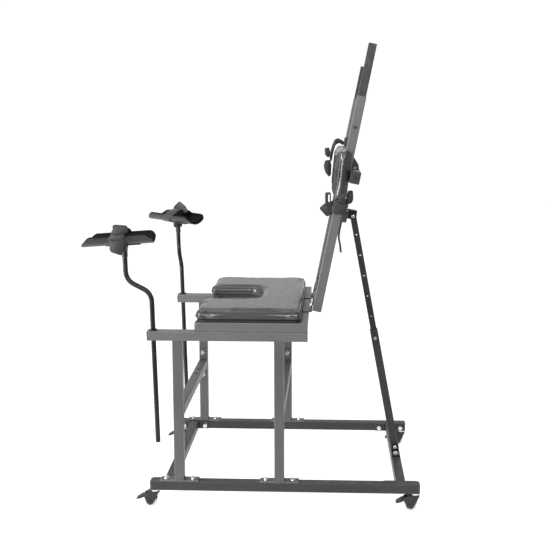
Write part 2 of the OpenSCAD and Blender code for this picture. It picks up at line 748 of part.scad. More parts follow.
caster_pedal(-1, -1);  // caster_pedal_fr
caster_pedal(1, 1);  // caster_pedal_rl
caster_pedal(-1, 1);  // caster_pedal_rr
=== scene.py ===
"""Looks of the adjustable positioning chair: upholstery, webbing, coatings, light and camera."""

import json
import math

import bmesh
import bpy
from mathutils import Matrix, Vector
from mathutils.bvhtree import BVHTree


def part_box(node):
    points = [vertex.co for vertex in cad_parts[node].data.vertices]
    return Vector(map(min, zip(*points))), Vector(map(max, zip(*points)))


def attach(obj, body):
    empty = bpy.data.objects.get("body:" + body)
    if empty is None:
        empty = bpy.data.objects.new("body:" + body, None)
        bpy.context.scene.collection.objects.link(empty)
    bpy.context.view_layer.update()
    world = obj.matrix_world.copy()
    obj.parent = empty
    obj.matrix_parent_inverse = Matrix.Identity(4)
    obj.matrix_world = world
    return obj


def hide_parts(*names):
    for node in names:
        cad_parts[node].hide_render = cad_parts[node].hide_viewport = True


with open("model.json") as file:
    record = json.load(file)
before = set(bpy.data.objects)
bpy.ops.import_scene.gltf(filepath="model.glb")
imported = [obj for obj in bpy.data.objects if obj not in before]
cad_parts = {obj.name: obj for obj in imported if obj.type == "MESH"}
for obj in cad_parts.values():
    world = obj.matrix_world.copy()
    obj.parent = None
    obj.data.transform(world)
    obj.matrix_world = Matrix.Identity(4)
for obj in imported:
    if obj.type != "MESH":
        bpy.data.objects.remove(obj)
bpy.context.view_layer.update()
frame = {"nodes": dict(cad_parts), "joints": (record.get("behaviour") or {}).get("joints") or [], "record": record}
JOINTS = {j["name"]: j for j in frame["joints"]}
ROOM = 0.30
CEILING = 0.60

# Places that the pieces share with the CAD, in metres and degrees
LEAN = math.radians(11.48)
BAR_X = 0.205
BAR = 0.030
BAR_FRONT = 0.0028
CRADLE_R = 0.062
CRADLE_RISE = 0.011
CRADLE_Y0 = -0.135
CRADLE_LEN = 0.233
CRADLE_TILT = {"left": 2.7, "right": -3.0}
CUT_HALF = 0.097
CUT_END = 0.097
CUT_R = 0.060
LOBE_R = 0.020
FRONT_R = 0.028
REAR_R = 0.014
PAD_HALF = 0.245
PAD_HEIGHT = 0.160
PAD_THICK = 0.046
PAD_SEAM = 0.006
CHANNEL_HALF = 0.0172
CHANNEL_FRONT = 0.0013
PIVOT_U = 0.3369
PIVOT_V = 0.0808


# ---------------------------------------------------------------- camera and light


def make_camera():
    data = bpy.data.cameras.new("main_camera")
    data.sensor_width = 36
    data.lens = 55.636
    data.shift_x = -0.0458
    data.shift_y = -0.1074
    data.clip_end = 50
    camera = bpy.data.objects.new("main_camera", data)
    bpy.context.collection.objects.link(camera)
    camera.location = (3.00108, 0.14844, 1.31843)
    forward = Vector((-0.992130, -0.035002, -0.120222))
    camera.rotation_euler = forward.to_track_quat("-Z", "Y").to_euler()
    bpy.context.scene.camera = camera


def area_light(name, place, target, size, power):
    data = bpy.data.lights.new(name, "AREA")
    data.shape = "RECTANGLE"
    data.size, data.size_y = size
    data.energy = power
    light = bpy.data.objects.new(name, data)
    bpy.context.collection.objects.link(light)
    light.location = place
    light.rotation_euler = (Vector(target) - Vector(place)).to_track_quat("-Z", "Y").to_euler()


def make_world():
    """White backdrop behind the chair, bright ceiling, and a dim room on the camera's side."""
    world = bpy.data.worlds.new("studio")
    bpy.context.scene.world = world
    world.use_nodes = True
    tree = world.node_tree
    split = tree.nodes.new("ShaderNodeSeparateXYZ")
    tree.links.new(tree.nodes.new("ShaderNodeTexCoord").outputs["Generated"], split.inputs[0])

    def ramp(socket, start, end, low, high):
        made = tree.nodes.new("ShaderNodeMapRange")
        made.interpolation_type = "SMOOTHSTEP"
        made.inputs["From Min"].default_value = start
        made.inputs["From Max"].default_value = end
        made.inputs["To Min"].default_value = low
        made.inputs["To Max"].default_value = high
        tree.links.new(socket, made.inputs["Value"])
        return made.outputs["Result"]

    both = tree.nodes.new("ShaderNodeMath")
    both.operation = "MAXIMUM"
    tree.links.new(ramp(split.outputs["X"], -0.72, -0.90, ROOM, 1.02), both.inputs[0])
    tree.links.new(ramp(split.outputs["Z"], 0.35, 0.85, ROOM, CEILING), both.inputs[1])
    tree.links.new(both.outputs[0], tree.nodes["Background"].inputs["Strength"])
    tree.nodes["Background"].inputs["Color"].default_value = (1.0, 1.0, 1.0, 1)


def make_light():
    area_light("key_above", (-0.6, -1.0, 3.2), (0, 0, 0.6), (2.0, 2.0), 24)
    area_light("long_strip", (3.3, -0.1, 1.9), (0, 0, 0.7), (3.4, 0.45), 80)
    area_light("side_strip", (1.3, -2.6, 1.15), (0.2, 0, 1.0), (0.80, 1.8), 105)


# ---------------------------------------------------------------- materials


class Shader:
    """A node material with short helpers for adding and joining nodes."""

    def __init__(self, name, color, roughness, metallic=0.0):
        self.material = bpy.data.materials.new(name)
        self.material.use_nodes = True
        self.tree = self.material.node_tree
        self.out = self.tree.nodes["Principled BSDF"]
        self.set("Base Color", (*color, 1))
        self.set("Roughness", roughness)
        self.set("Metallic", metallic)

    def set(self, socket, value):
        self.out.inputs[socket].default_value = value

    def node(self, kind, **values):
        made = self.tree.nodes.new("ShaderNode" + kind)
        for key, value in values.items():
            if hasattr(made, key):
                setattr(made, key, value)
            else:
                made.inputs[key.replace("_", " ")].default_value = value
        return made

    def join(self, source, target):
        self.tree.links.new(source, target)

    def math(self, kind, a, b=None):
        made = self.node("Math", operation=kind)
        for socket, value in zip(made.inputs, (a, b)):
            if isinstance(value, (int, float)):
                socket.default_value = value
            elif value is not None:
                self.join(value, socket)
        return made.outputs[0]

    def place(self):
        return self.node("TexCoord").outputs["Object"]

    def noise(self, scale, detail=3.0, rough=0.5, where=None):
        made = self.node("TexNoise", Scale=scale, Detail=detail, Roughness=rough)
        self.join(where or self.place(), made.inputs["Vector"])
        return made.outputs["Fac"]

    def spread(self, value, low, high):
        made = self.node("MapRange")
        made.inputs["To Min"].default_value = low
        made.inputs["To Max"].default_value = high
        made.inputs["From Min"].default_value = 0.3
        made.inputs["From Max"].default_value = 0.7
        self.join(value, made.inputs["Value"])
        return made.outputs["Result"]

    def vary(self, value, dark, light):
        """Base colour that goes from dark to light with a value around one half."""
        made = self.node("Mix", data_type="RGBA")
        for socket, color in ((made.inputs[6], dark), (made.inputs[7], light)):
            socket.default_value = (*color, 1)
        self.join(self.spread(value, 0, 1), made.inputs[0])
        return made.outputs[2]

    def mix(self, factor, a, b):
        made = self.node("Mix", data_type="RGBA")
        self.join(factor, made.inputs[0])
        self.join(a, made.inputs[6])
        made.inputs[7].default_value = (*b, 1)
        return made.outputs[2]

    def bump(self, height, distance, strength=1.0, normal=None):
        made = self.node("Bump", Strength=strength, Distance=distance)
        self.join(height, made.inputs["Height"])
        if normal:
            self.join(normal, made.inputs["Normal"])
        return made.outputs["Normal"]

    def edges(self, radius):
        """(rounded normal, mask that is 1 on sharp outside edges, where a painted edge highlight goes)"""
        bevel = self.node("Bevel", samples=4, Radius=radius)
        dot = self.node("VectorMath", operation="DOT_PRODUCT")
        self.join(bevel.outputs[0], dot.inputs[0])
        self.join(self.node("NewGeometry").outputs["Normal"], dot.inputs[1])
        edge_highlight = self.math("MULTIPLY", self.math("SUBTRACT", 1.0, dot.outputs["Value"]), 5.0)
        return bevel.outputs[0], self.math("MINIMUM", edge_highlight, 1.0)


def powder_coat(name, dark, light, edge, roughness=0.42):
    s = Shader(name, light, roughness)
    rounded, edge_highlight = s.edges(0.0024)
    body = s.vary(s.noise(9, 4), dark, light)
    # Painted highlight: the sharp outside edges are mixed toward the light edge colour.
    shown = s.mix(s.math("MULTIPLY", edge_highlight, 0.55), body, edge)
    # Painted shade: where ambient occlusion finds nearby surfaces, in joints and crevices, the colour is darkened
    # toward a near-black copy of the paint.
    joints = s.node("AmbientOcclusion", Distance=0.012, samples=8)
    closed = s.math("MULTIPLY", s.math("SUBTRACT", 0.85, joints.outputs["AO"]), 2.0)
    crevice_shade_color = tuple(c * 0.12 for c in dark)
    s.join(s.mix(closed, shown, crevice_shade_color), s.out.inputs["Base Color"])
    s.join(s.spread(s.noise(40, 2), roughness - 0.05, roughness + 0.07), s.out.inputs["Roughness"])
    s.join(s.bump(s.noise(900, 1), 0.00016, 0.35, rounded), s.out.inputs["Normal"])
    s.set("Specular IOR Level", 0.28)
    s.set("Coat Weight", 0.05)
    s.set("Coat Roughness", 0.25)
    return s.material


def moulded(name, dark, light, roughness):
    s = Shader(name, light, roughness)
    rounded, edge_highlight = s.edges(0.0010)
    body = s.vary(s.noise(30, 3), dark, light)
    # Painted highlight: the sharp outside edges are mixed toward a lighter copy of the colour.
    edge = tuple(min(1, c * 2.2) for c in light)
    s.join(s.mix(s.math("MULTIPLY", edge_highlight, 0.35), body, edge), s.out.inputs["Base Color"])
    s.join(s.spread(s.noise(70, 2), roughness - 0.06, roughness + 0.08), s.out.inputs["Roughness"])
    s.join(s.bump(s.noise(1400, 2), 0.0001, 0.35, rounded), s.out.inputs["Normal"])
    return s.material


def plated(name, color, roughness):
    s = Shader(name, color, roughness, 1.0)
    rounded, _ = s.edges(0.0006)
    dark = tuple(c * 0.7 for c in color)
    s.join(s.vary(s.noise(160, 4), dark, color), s.out.inputs["Base Color"])
    s.join(s.spread(s.noise(300, 3), roughness - 0.08, roughness + 0.12), s.out.inputs["Roughness"])
    s.join(s.bump(s.noise(1800, 2), 0.00005, 0.3, rounded), s.out.inputs["Normal"])
    return s.material


def upholstery(name, dark, light, roughness, coat, sheen=0.5):
    """Vinyl with a fine pebble grain, soft creases and a thin glossy film."""
    s = Shader(name, light, roughness)
    pebble = s.node("TexVoronoi", Scale=650, feature="SMOOTH_F1")
    s.join(s.place(), pebble.inputs["Vector"])
    grain = s.math("MULTIPLY", pebble.outputs["Distance"], 0.5)
    creases = s.math("MULTIPLY", s.noise(34, 5, 0.6), 1.6)
    height = s.math("ADD", grain, creases)
    s.join(s.vary(s.noise(7, 5), dark, light), s.out.inputs["Base Color"])
    s.join(s.spread(s.noise(55, 3), roughness - 0.05, roughness + 0.08), s.out.inputs["Roughness"])
    s.join(s.bump(height, 0.00045, 0.35), s.out.inputs["Normal"])
    s.set("Coat Weight", coat)
    s.set("Specular IOR Level", sheen)
    s.set("Coat Roughness", 0.13)
    return s.material


def webbing(name, dark, light):
    """Woven nylon: ribs across the strap and yarns along it, read from its own length and width."""
    s = Shader(name, light, 0.62)
    split = s.node("SeparateXYZ")
    s.join(s.node("TexCoord").outputs["UV"], split.inputs[0])
    along = s.math("SINE", s.math("MULTIPLY", split.outputs[0], 2 * math.pi / 0.0021))
    across = s.math("SINE", s.math("MULTIPLY", split.outputs[1], 2 * math.pi / 0.0026))
    weave = s.math("MULTIPLY", along, across)
    lifted = s.math("ADD", s.math("MULTIPLY", weave, 0.25), 0.5)
    fade = s.math("MULTIPLY", s.noise(90, 3), 0.2)
    s.join(s.vary(s.math("ADD", lifted, fade), dark, light), s.out.inputs["Base Color"])
    s.join(s.bump(lifted, 0.0004, 0.7), s.out.inputs["Normal"])
    s.set("Sheen Weight", 0.15)
    s.set("Sheen Roughness", 0.4)
    return s.material


def plywood(name):
    s = Shader(name, (0.05, 0.04, 0.03), 0.7)
    bands = s.node("TexWave", wave_type="BANDS", bands_direction="Z", Scale=120, Distortion=1.5, Detail=3)
    s.join(s.place(), bands.inputs["Vector"])
    color = s.vary(bands.outputs["Fac"], (0.008, 0.007, 0.006), (0.018, 0.015, 0.012))
    s.join(color, s.out.inputs["Base Color"])
    s.join(s.bump(bands.outputs["Fac"], 0.0002, 0.4), s.out.inputs["Normal"])
    return s.material


def plain_floor():
    s = Shader("floor", (0.5, 0.5, 0.5), 0.8)
    s.join(s.vary(s.noise(2, 2), (0.49, 0.49, 0.49), (0.51, 0.51, 0.51)), s.out.inputs["Base Color"])
    s.set("Emission Color", (1, 1, 1, 1))
    s.set("Emission Strength", 0.80)
    s.set("Specular IOR Level", 0.0)
    return s.material


# The last colour given to each coat is the painted highlight on its sharp edges.
PAINT = powder_coat("grey_powder_coat", (0.072, 0.072, 0.074), (0.086, 0.086, 0.088), (0.40, 0.40, 0.41))
# A lighter copy of the grey coat: painted light, for the seat frame, top rails and back bars whose faces take more
# light.
LIT_PAINT = powder_coat("lit_powder_coat", (0.098, 0.098, 0.100), (0.114, 0.114, 0.117), (0.50, 0.50, 0.51))
# A much darker copy of the grey coat: painted shade, for tubes that take less light, above all the base frame.
SHADED_PAINT = powder_coat("shaded_powder_coat", (0.024, 0.024, 0.025), (0.032, 0.032, 0.033), (0.26, 0.26, 0.27))
DARK_PAINT = powder_coat("dark_powder_coat", (0.014, 0.014, 0.015), (0.020, 0.020, 0.021), (0.22, 0.22, 0.23))
BLACK_PAINT = powder_coat("black_powder_coat", (0.008, 0.008, 0.009), (0.014, 0.014, 0.015),
                          (0.10, 0.10, 0.11), 0.3)
BRIGHT = plated("zinc_plate", (0.78, 0.78, 0.79), 0.28)
PLASTIC = moulded("black_plastic", (0.006, 0.006, 0.007), (0.012, 0.012, 0.013), 0.42)
WHEEL = moulded("wheel_plastic", (0.52, 0.52, 0.51), (0.64, 0.64, 0.62), 0.45)
VINYL = upholstery("grey_vinyl", (0.032, 0.032, 0.033), (0.042, 0.042, 0.043), 0.45, 0.50, 0.2)
PAD_VINYL = upholstery("dark_vinyl", (0.026, 0.026, 0.027), (0.038, 0.038, 0.039), 0.38, 0.7, 0.45)
# A darker, matte copy of the pad vinyl: painted shade, with no reflection, on the faces turned to the front.
PAD_SHADED_FRONT = upholstery("shaded_vinyl_front", (0.020, 0.020, 0.021), (0.030, 0.030, 0.031), 0.60, 0.0, 0.0)
SHELL = upholstery("shell_vinyl", (0.018, 0.018, 0.019), (0.027, 0.027, 0.028), 0.42, 0.08, 0.2)
LINER = upholstery("black_vinyl", (0.004, 0.004, 0.005), (0.009, 0.009, 0.010), 0.6, 0.0, 0.06)
PIPING = upholstery("piping_vinyl", (0.07, 0.07, 0.072), (0.10, 0.10, 0.102), 0.36, 0.3)
WEB = webbing("black_webbing", (0.005, 0.005, 0.006), (0.020, 0.020, 0.021))
THREAD = moulded("thread", (0.02, 0.02, 0.02), (0.04, 0.04, 0.04), 0.7)
BOARD = plywood("plywood")

NODE_MATERIALS = {
    "frame_paint": PAINT,
    "dark_paint": DARK_PAINT,
    "black_paint": BLACK_PAINT,
    "bright_steel": BRIGHT,
    "black_plastic": PLASTIC,
    "wheel_plastic": WHEEL,
    "vinyl": VINYL,
    "cradle_vinyl": SHELL,
    "webbing": WEB,
    "board": BOARD,
}
# Painted shade: the darker copy of the coat on the base frame and the tubes listed with it.
NODE_EXCEPTIONS = {name: SHADED_PAINT for name in
                   ("left_base_rail", "right_base_rail", "front_lower_cross_tube", "rear_cross_tube",
                    "frame_tube_caps", "strut_outer_tube", "pad_cross_tube", "strut_cross_tube")}
# Painted light: the lighter copy of the coat on the seat frame, top rails and back bars.
for name in ("seat_side_tubes", "seat_cross_tubes", "left_top_rail", "right_top_rail",
             "left_back_bar", "right_back_bar"):
    NODE_EXCEPTIONS[name] = LIT_PAINT
NODE_EXCEPTIONS["back_fasteners"] = BLACK_PAINT
NODE_EXCEPTIONS["seat_hinge_leaves"] = PAINT
NODE_EXCEPTIONS["back_hinge_leaves"] = PAINT


def paint_nodes():
    slots = {s["node"]: s["material_slot"] for s in frame["record"]["subparts"]}
    for name, node in frame["nodes"].items():
        material = NODE_EXCEPTIONS.get(name, NODE_MATERIALS[slots[name]])
        node.data.materials.clear()
        node.data.materials.append(material)


# ---------------------------------------------------------------- mesh helpers


def new_piece(name, verts, faces, material, body, uvs=None, smooth=True):
    mesh = bpy.data.meshes.new(name)
    mesh.from_pydata([tuple(v) for v in verts], [], faces)
    if uvs:
        layer = mesh.uv_layers.new(name="UVMap")
        for loop in mesh.loops:
            layer.data[loop.index].uv = uvs[loop.vertex_index]
    tidy = bmesh.new()
    tidy.from_mesh(mesh)
    bmesh.ops.recalc_face_normals(tidy, faces=tidy.faces)
    tidy.to_mesh(mesh)
    tidy.free()
    for face in mesh.polygons:
        face.use_smooth = smooth
    mesh.materials.append(material)
    piece = bpy.data.objects.new(name, mesh)
    bpy.context.collection.objects.link(piece)
    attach(piece, body)
    return piece


def curve_through(points, steps=6, closed=False):
    """Catmull-Rom curve through given points."""
    points = [Vector(p) for p in points]
    count = len(points)
    made = []
    for i in range(count if closed else count - 1):
        if closed:
            a, b, c, d = (points[(i + k) % count] for k in (-1, 0, 1, 2))
        else:
            b, c = points[i], points[i + 1]
            a = points[i - 1] if i else b * 2 - c
            d = points[i + 2] if i + 2 < count else c * 2 - b
        for k in range(steps):
            t = k / steps
            made.append(0.5 * (2 * b + (c - a) * t + (2 * a - 5 * b + 4 * c - d) * t * t
                               + (3 * b - a - 3 * c + d) * t ** 3))
    if not closed:
        made.append(points[-1])
    return made


def rings_to_faces(rings, size, closed):
    faces = []
    for i in range(rings if closed else rings - 1):
        for k in range(size):
            a, b = i * size + k, i * size + (k + 1) % size
            c, d = ((i + 1) % rings) * size + (k + 1) % size, ((i + 1) % rings) * size + k
            faces.append((a, b, c, d))
    if not closed:
        faces.append(tuple(range(size)))
        faces.append(tuple((rings - 1) * size + k for k in range(size)))
    return faces


def tangent_at(path, i, closed):
    last = len(path) - 1
    if closed:
        return (path[(i + 1) % len(path)] - path[i - 1]).normalized()
    return (path[min(i + 1, last)] - path[max(i - 1, 0)]).normalized()


STRAP_SECTION = [(-0.5, -0.3), (-0.46, -0.5), (0, -0.56), (0.46, -0.5), (0.5, -0.3),
                 (0.5, 0.3), (0.46, 0.5), (0, 0.56), (-0.46, 0.5), (-0.5, 0.3)]


def strap(name, path, across, width, thick, body, closed=False, to_row=Matrix()):
    """A flat webbing strap along a path, with its width along across."""
    across = Vector(across).normalized()
    verts, uvs, run = [], [], 0.0
    for i, point in enumerate(path):
        if i:
            run += (point - path[i - 1]).length
        out = tangent_at(path, i, closed).cross(across).normalized()
        for a, b in STRAP_SECTION:
            verts.append(to_row @ (point + across * a * width + out * b * thick))
            uvs.append((run, a * width))
    faces = rings_to_faces(len(path), len(STRAP_SECTION), closed)
    return new_piece(name, verts, faces, WEB, body, uvs)


def patch(name, outline, x, thick, body, to_row, hole=None):
    """Flat piece of webbing lying across X, with soft edges and, for a loop, one hole."""
    def ring(points, dx, inset):
        middle = sum((Vector(p) for p in points), Vector((0, 0))) / len(points)
        made = []
        for p in points:
            arm = Vector(p) - middle
            spot = middle + arm * (1 - inset / max(arm.length, 1e-6))
            made.append(Vector((x + dx, spot.x, spot.y)))
        return made

    half = thick / 2
    steps = ((-half, 0.0008), (-half + 0.0006, 0.0), (half - 0.0006, 0.0), (half, 0.0008))
    rings = [ring(outline, dx, inset) for dx, inset in steps]
    if hole:
        rings += [ring(hole, dx, -inset) for dx, inset in reversed(steps)]
    verts = [v for r in rings for v in r]
    faces = rings_to_faces(len(rings), len(outline), bool(hole))
    uvs = [(v.y, v.z) for v in verts]
    return new_piece(name, [to_row @ v for v in verts], faces, WEB, body, uvs)


def soft(points, steps=4):
    """Closed outline in millimetres, rounded a little at its corners, in metres."""
    made = []
    for i, p in enumerate(points):
        a, b, c = Vector(points[i - 1]), Vector(p), Vector(points[(i + 1) % len(points)])
        start, end = b.lerp(a, 0.22), b.lerp(c, 0.22)
        for k in range(steps + 1):
            t = k / steps
            made.append((start * (1 - t) ** 2 + b * 2 * t * (1 - t) + end * t * t) / 1000)
    return made


def round_sweep(name, path, radius, material, body, closed=False, sides=8, ripple=0.0):
    """A round cord along a path, such as piping, or a weld bead with ripples."""
    verts = []
    side = None
    for i, point in enumerate(path):
        tangent = tangent_at(path, i, closed)
        if side is None:
            side = tangent.orthogonal().normalized()
        side = (side - tangent * side.dot(tangent)).normalized()
        other = tangent.cross(side)
        r = radius * (1 + ripple * math.sin(i * math.pi / 2))
        for k in range(sides):
            a = 2 * math.pi * k / sides
            verts.append(point + side * r * math.cos(a) + other * r * math.sin(a))
    return new_piece(name, verts, rings_to_faces(len(path), sides, closed), material, body)


def walk(path, step, closed=False):
    """(point, tangent) every step metres along a path."""
    points = list(path) + ([path[0]] if closed else [])
    left = step
    for a, b in zip(points, points[1:]):
        length = (b - a).length
        if length < 1e-9:
            continue
        at = left
        while at <= length:
            yield a.lerp(b, at / length), (b - a) / length
            at += step
        left = at - length


def stitches(name, paths, body, up, to_row=Matrix(), closed=False):
    """Rows of short thread stitches, each a small pointed capsule on the surface."""
    length, step, radius = 0.0024, 0.0045, 0.00045
    verts, faces = [], []
    up = Vector(up)
    for path in paths:
        for point, along in walk(path, step, closed):
            start = len(verts)
            side = along.cross(up).normalized()
            top = side.cross(along).normalized()
            for t, r in ((-0.5, 0.35), (-0.3, 1.0), (0.3, 1.0), (0.5, 0.35)):
                for k in range(6):
                    a = 2 * math.pi * k / 6
                    offset = side * math.cos(a) * radius * r + top * math.sin(a) * radius * r
                    verts.append(to_row @ (point + along * t * length + offset))
            faces += [tuple(start + k for k in f) for f in rings_to_faces(4, 6, False)]
    return new_piece(name, verts, faces, THREAD, body)


def arc(cx, cy, r, a0, a1, steps):
    return [(cx + r * math.cos(math.radians(a0 + (a1 - a0) * i / steps)),
             cy + r * math.sin(math.radians(a0 + (a1 - a0) * i / steps))) for i in range(steps + 1)]


def rounded_box(w, h, r, steps=5):
    return (arc(w / 2 - r, h / 2 - r, r, 0, 90, steps) + arc(r - w / 2, h / 2 - r, r, 90, 180, steps)
            + arc(r - w / 2, r - h / 2, r, 180, 270, steps) + arc(w / 2 - r, r - h / 2, r, 270, 360, steps))


# ---------------------------------------------------------------- places


def back_place():
    hinge = Vector(JOINTS["back_recline"]["pos_m"])
    return Matrix.Translation(hinge) @ Matrix.Rotation(-LEAN, 4, "X")


def cradle_place(side):
    tilt = JOINTS[side + "_cradle_tilt"]
    x = Vector(tilt["axis"]).normalized()
    z = Vector(JOINTS[side + "_post_height"]["axis"]).normalized()
    y = z.cross(x)
    turn = Matrix((x, y, z)).transposed().to_4x4()
    tipped = Matrix.Rotation(math.radians(CRADLE_TILT[side]), 4, "X")
    return Matrix.Translation(Vector(tilt["pos_m"])) @ turn @ tipped


BACK = back_place()


# ---------------------------------------------------------------- stuffed pieces


def puff(piece, voxel, pressure, cap, pinned, frames=20, smooth=0):
    """Blows a closed cover up like a stuffed cushion and keeps the result as a plain mesh."""
    scene = bpy.context.scene
    view = bpy.context.view_layer
    remesh = piece.modifiers.new("remesh", "REMESH")
    remesh.mode = "VOXEL"
    remesh.voxel_size = voxel
    depsgraph = bpy.context.evaluated_depsgraph_get()
    piece.data = bpy.data.meshes.new_from_object(piece.evaluated_get(depsgraph))
    piece.modifiers.clear()
    if smooth:
        relax = piece.modifiers.new("relax", "SMOOTH")
        relax.factor = 0.5
        relax.iterations = smooth
        depsgraph = bpy.context.evaluated_depsgraph_get()
        piece.data = bpy.data.meshes.new_from_object(piece.evaluated_get(depsgraph))
        piece.modifiers.clear()
    start = [v.co.copy() for v in piece.data.vertices]
    held = piece.vertex_groups.new(name="held")
    for v in piece.data.vertices:
        if pinned(v.co):
            held.add([v.index], 1.0, "REPLACE")
    cloth = piece.modifiers.new("cloth", "CLOTH")
    cloth.settings.quality = 4
    cloth.settings.mass = 0.3
    cloth.settings.tension_stiffness = 18
    cloth.settings.compression_stiffness = 18
    cloth.settings.bending_stiffness = 1.2
    cloth.settings.use_pressure = True
    cloth.settings.uniform_pressure_force = pressure
    cloth.settings.vertex_group_mass = "held"
    cloth.settings.effector_weights.gravity = 0
    cloth.point_cache.frame_start = 1
    cloth.point_cache.frame_end = frames
    for number in range(1, frames + 1):
        scene.frame_set(number)
    depsgraph = bpy.context.evaluated_depsgraph_get()
    piece.data = bpy.data.meshes.new_from_object(piece.evaluated_get(depsgraph))
    piece.modifiers.clear()
    scene.frame_set(1)
    for v, old in zip(piece.data.vertices, start):
        moved = v.co - old
        if moved.length > cap:
            v.co = old + moved.normalized() * cap
    for face in piece.data.polygons:
        face.use_smooth = True
    fine = piece.modifiers.new("fine", "SUBSURF")
    fine.levels = 1
    fine.render_levels = 1
    view.update()
    return piece


def half_outline(inset, x1, y0, y1):
    """Half of the seat's outline from the cut-out's end round the front to the rear, inset by a distance."""
    return (arc(CUT_HALF - CUT_R, -CUT_END - CUT_R, CUT_R + inset, 90, 0, 14)
            + arc(CUT_HALF + LOBE_R, y0 + LOBE_R, LOBE_R - inset, 180, 270, 8)
            + arc(x1 - FRONT_R, y0 + FRONT_R, FRONT_R - inset, 270, 360, 8)
            + arc(x1 - REAR_R, y1 - REAR_R, max(REAR_R - inset, 0.0008), 0, 90, 6))


def seat_outline(inset):
    low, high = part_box("seat_cushion")
    half = half_outline(inset, high.x, low.y, high.y)
    return half + [(-x, y) for x, y in reversed(half)]


def stacked(levels):
    """Closed mesh from outlines of one size at rising heights: [(z, outline), ...]."""
    size = len(levels[0][1])
    verts = [(x, y, z) for z, outline in levels for x, y in outline]
    return verts, rings_to_faces(len(levels), size, False)


def make_seat():
    low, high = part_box("seat_cushion")
    edge = 0.0125
    levels = [(low.z + 0.0002, seat_outline(0.0025)), (low.z + 0.0025, seat_outline(0.0006))]
    levels.append((high.z - edge, seat_outline(0.0006)))
    for step in range(1, 7):
        a = math.radians(90 * step / 6)
        levels.append((high.z - edge + edge * math.sin(a), seat_outline(0.0006 + edge * (1 - math.cos(a)))))
    verts, faces = stacked(levels)
    seat = new_piece("seat_pad", verts, faces, VINYL, "stand")
    puff(seat, 0.0055, 3.0, 0.004, lambda p: p.z < low.z + 0.004, smooth=2)
    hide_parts("seat_cushion")
    surface = BVHTree.FromObject(seat, bpy.context.evaluated_depsgraph_get())

    def laid(outline, z, lift):
        points = []
        for x, y in outline:
            spot, normal, _, _ = surface.find_nearest(Vector((x, y, z)))
            points.append(spot + normal * lift)
        return points

    welt = laid(seat_outline(0.0), low.z + 0.0105, 0.0004)
    round_sweep("seat_welt", welt, 0.0016, VINYL, "stand", closed=True)
    row = laid(seat_outline(0.0), low.z + 0.0145, 0.0002)
    stitches("seat_stitches", [row], "stand", (0, 0, 1), closed=True)


def pad_matrix():
    """Frame of the shoulder pad: X across, Y through its thickness, Z up along it."""
    return BACK @ Matrix.Translation((0, -0.0076, 0.404)) @ Matrix.Rotation(math.radians(5.7), 4, "X")


def crown_ends(pad, place):
    """Round the boxing at the pad's two ends between its seams, with the creases of a stretched cover."""
    inverse = place.inverted()
    reach, depth = 0.045, 0.008
    middle, spread = 0.0225, 0.0165
    for vertex in pad.data.vertices:
        p = inverse @ vertex.co
        near = (abs(p.x) - (PAD_HALF - reach)) / reach
        if near <= 0:
            continue
        near = min(1.0, near)
        blend = near * near * (3 - 2 * near)
        if p.y > PAD_SEAM:
            sag = depth * min(1.3, ((p.y - middle) / spread) ** 2)
        else:
            sag = depth + 0.4 * (PAD_SEAM - p.y)
        crease = max(0.0, 1 - abs(p.y - 0.028) / 0.012) * max(0.0, 3 * near - 2)
        wave = math.sin(2 * math.pi * (p.z * 90 + 1.2 * math.sin(p.z * 46) + p.y * 14))
        p.x -= math.copysign(blend * sag + 0.0005 * crease * wave, p.x)
        vertex.co = place @ p


def clear_channels(pad):
    """Press the cover's back out of the two bars, which run in channels of the pad."""
    inverse = BACK.inverted()
    width, front = CHANNEL_HALF - 0.0004, CHANNEL_FRONT + 0.0003
    for vertex in pad.data.vertices:
        p = inverse @ vertex.co
        off = abs(p.x) - BAR_X
        side = width - abs(off)
        deep = p.y - front
        if side <= 0 or deep <= 0:
            continue
        if deep < side:
            p.y = front
        else:
            p.x = math.copysign(BAR_X + math.copysign(width, off), p.x)
        vertex.co = BACK @ p


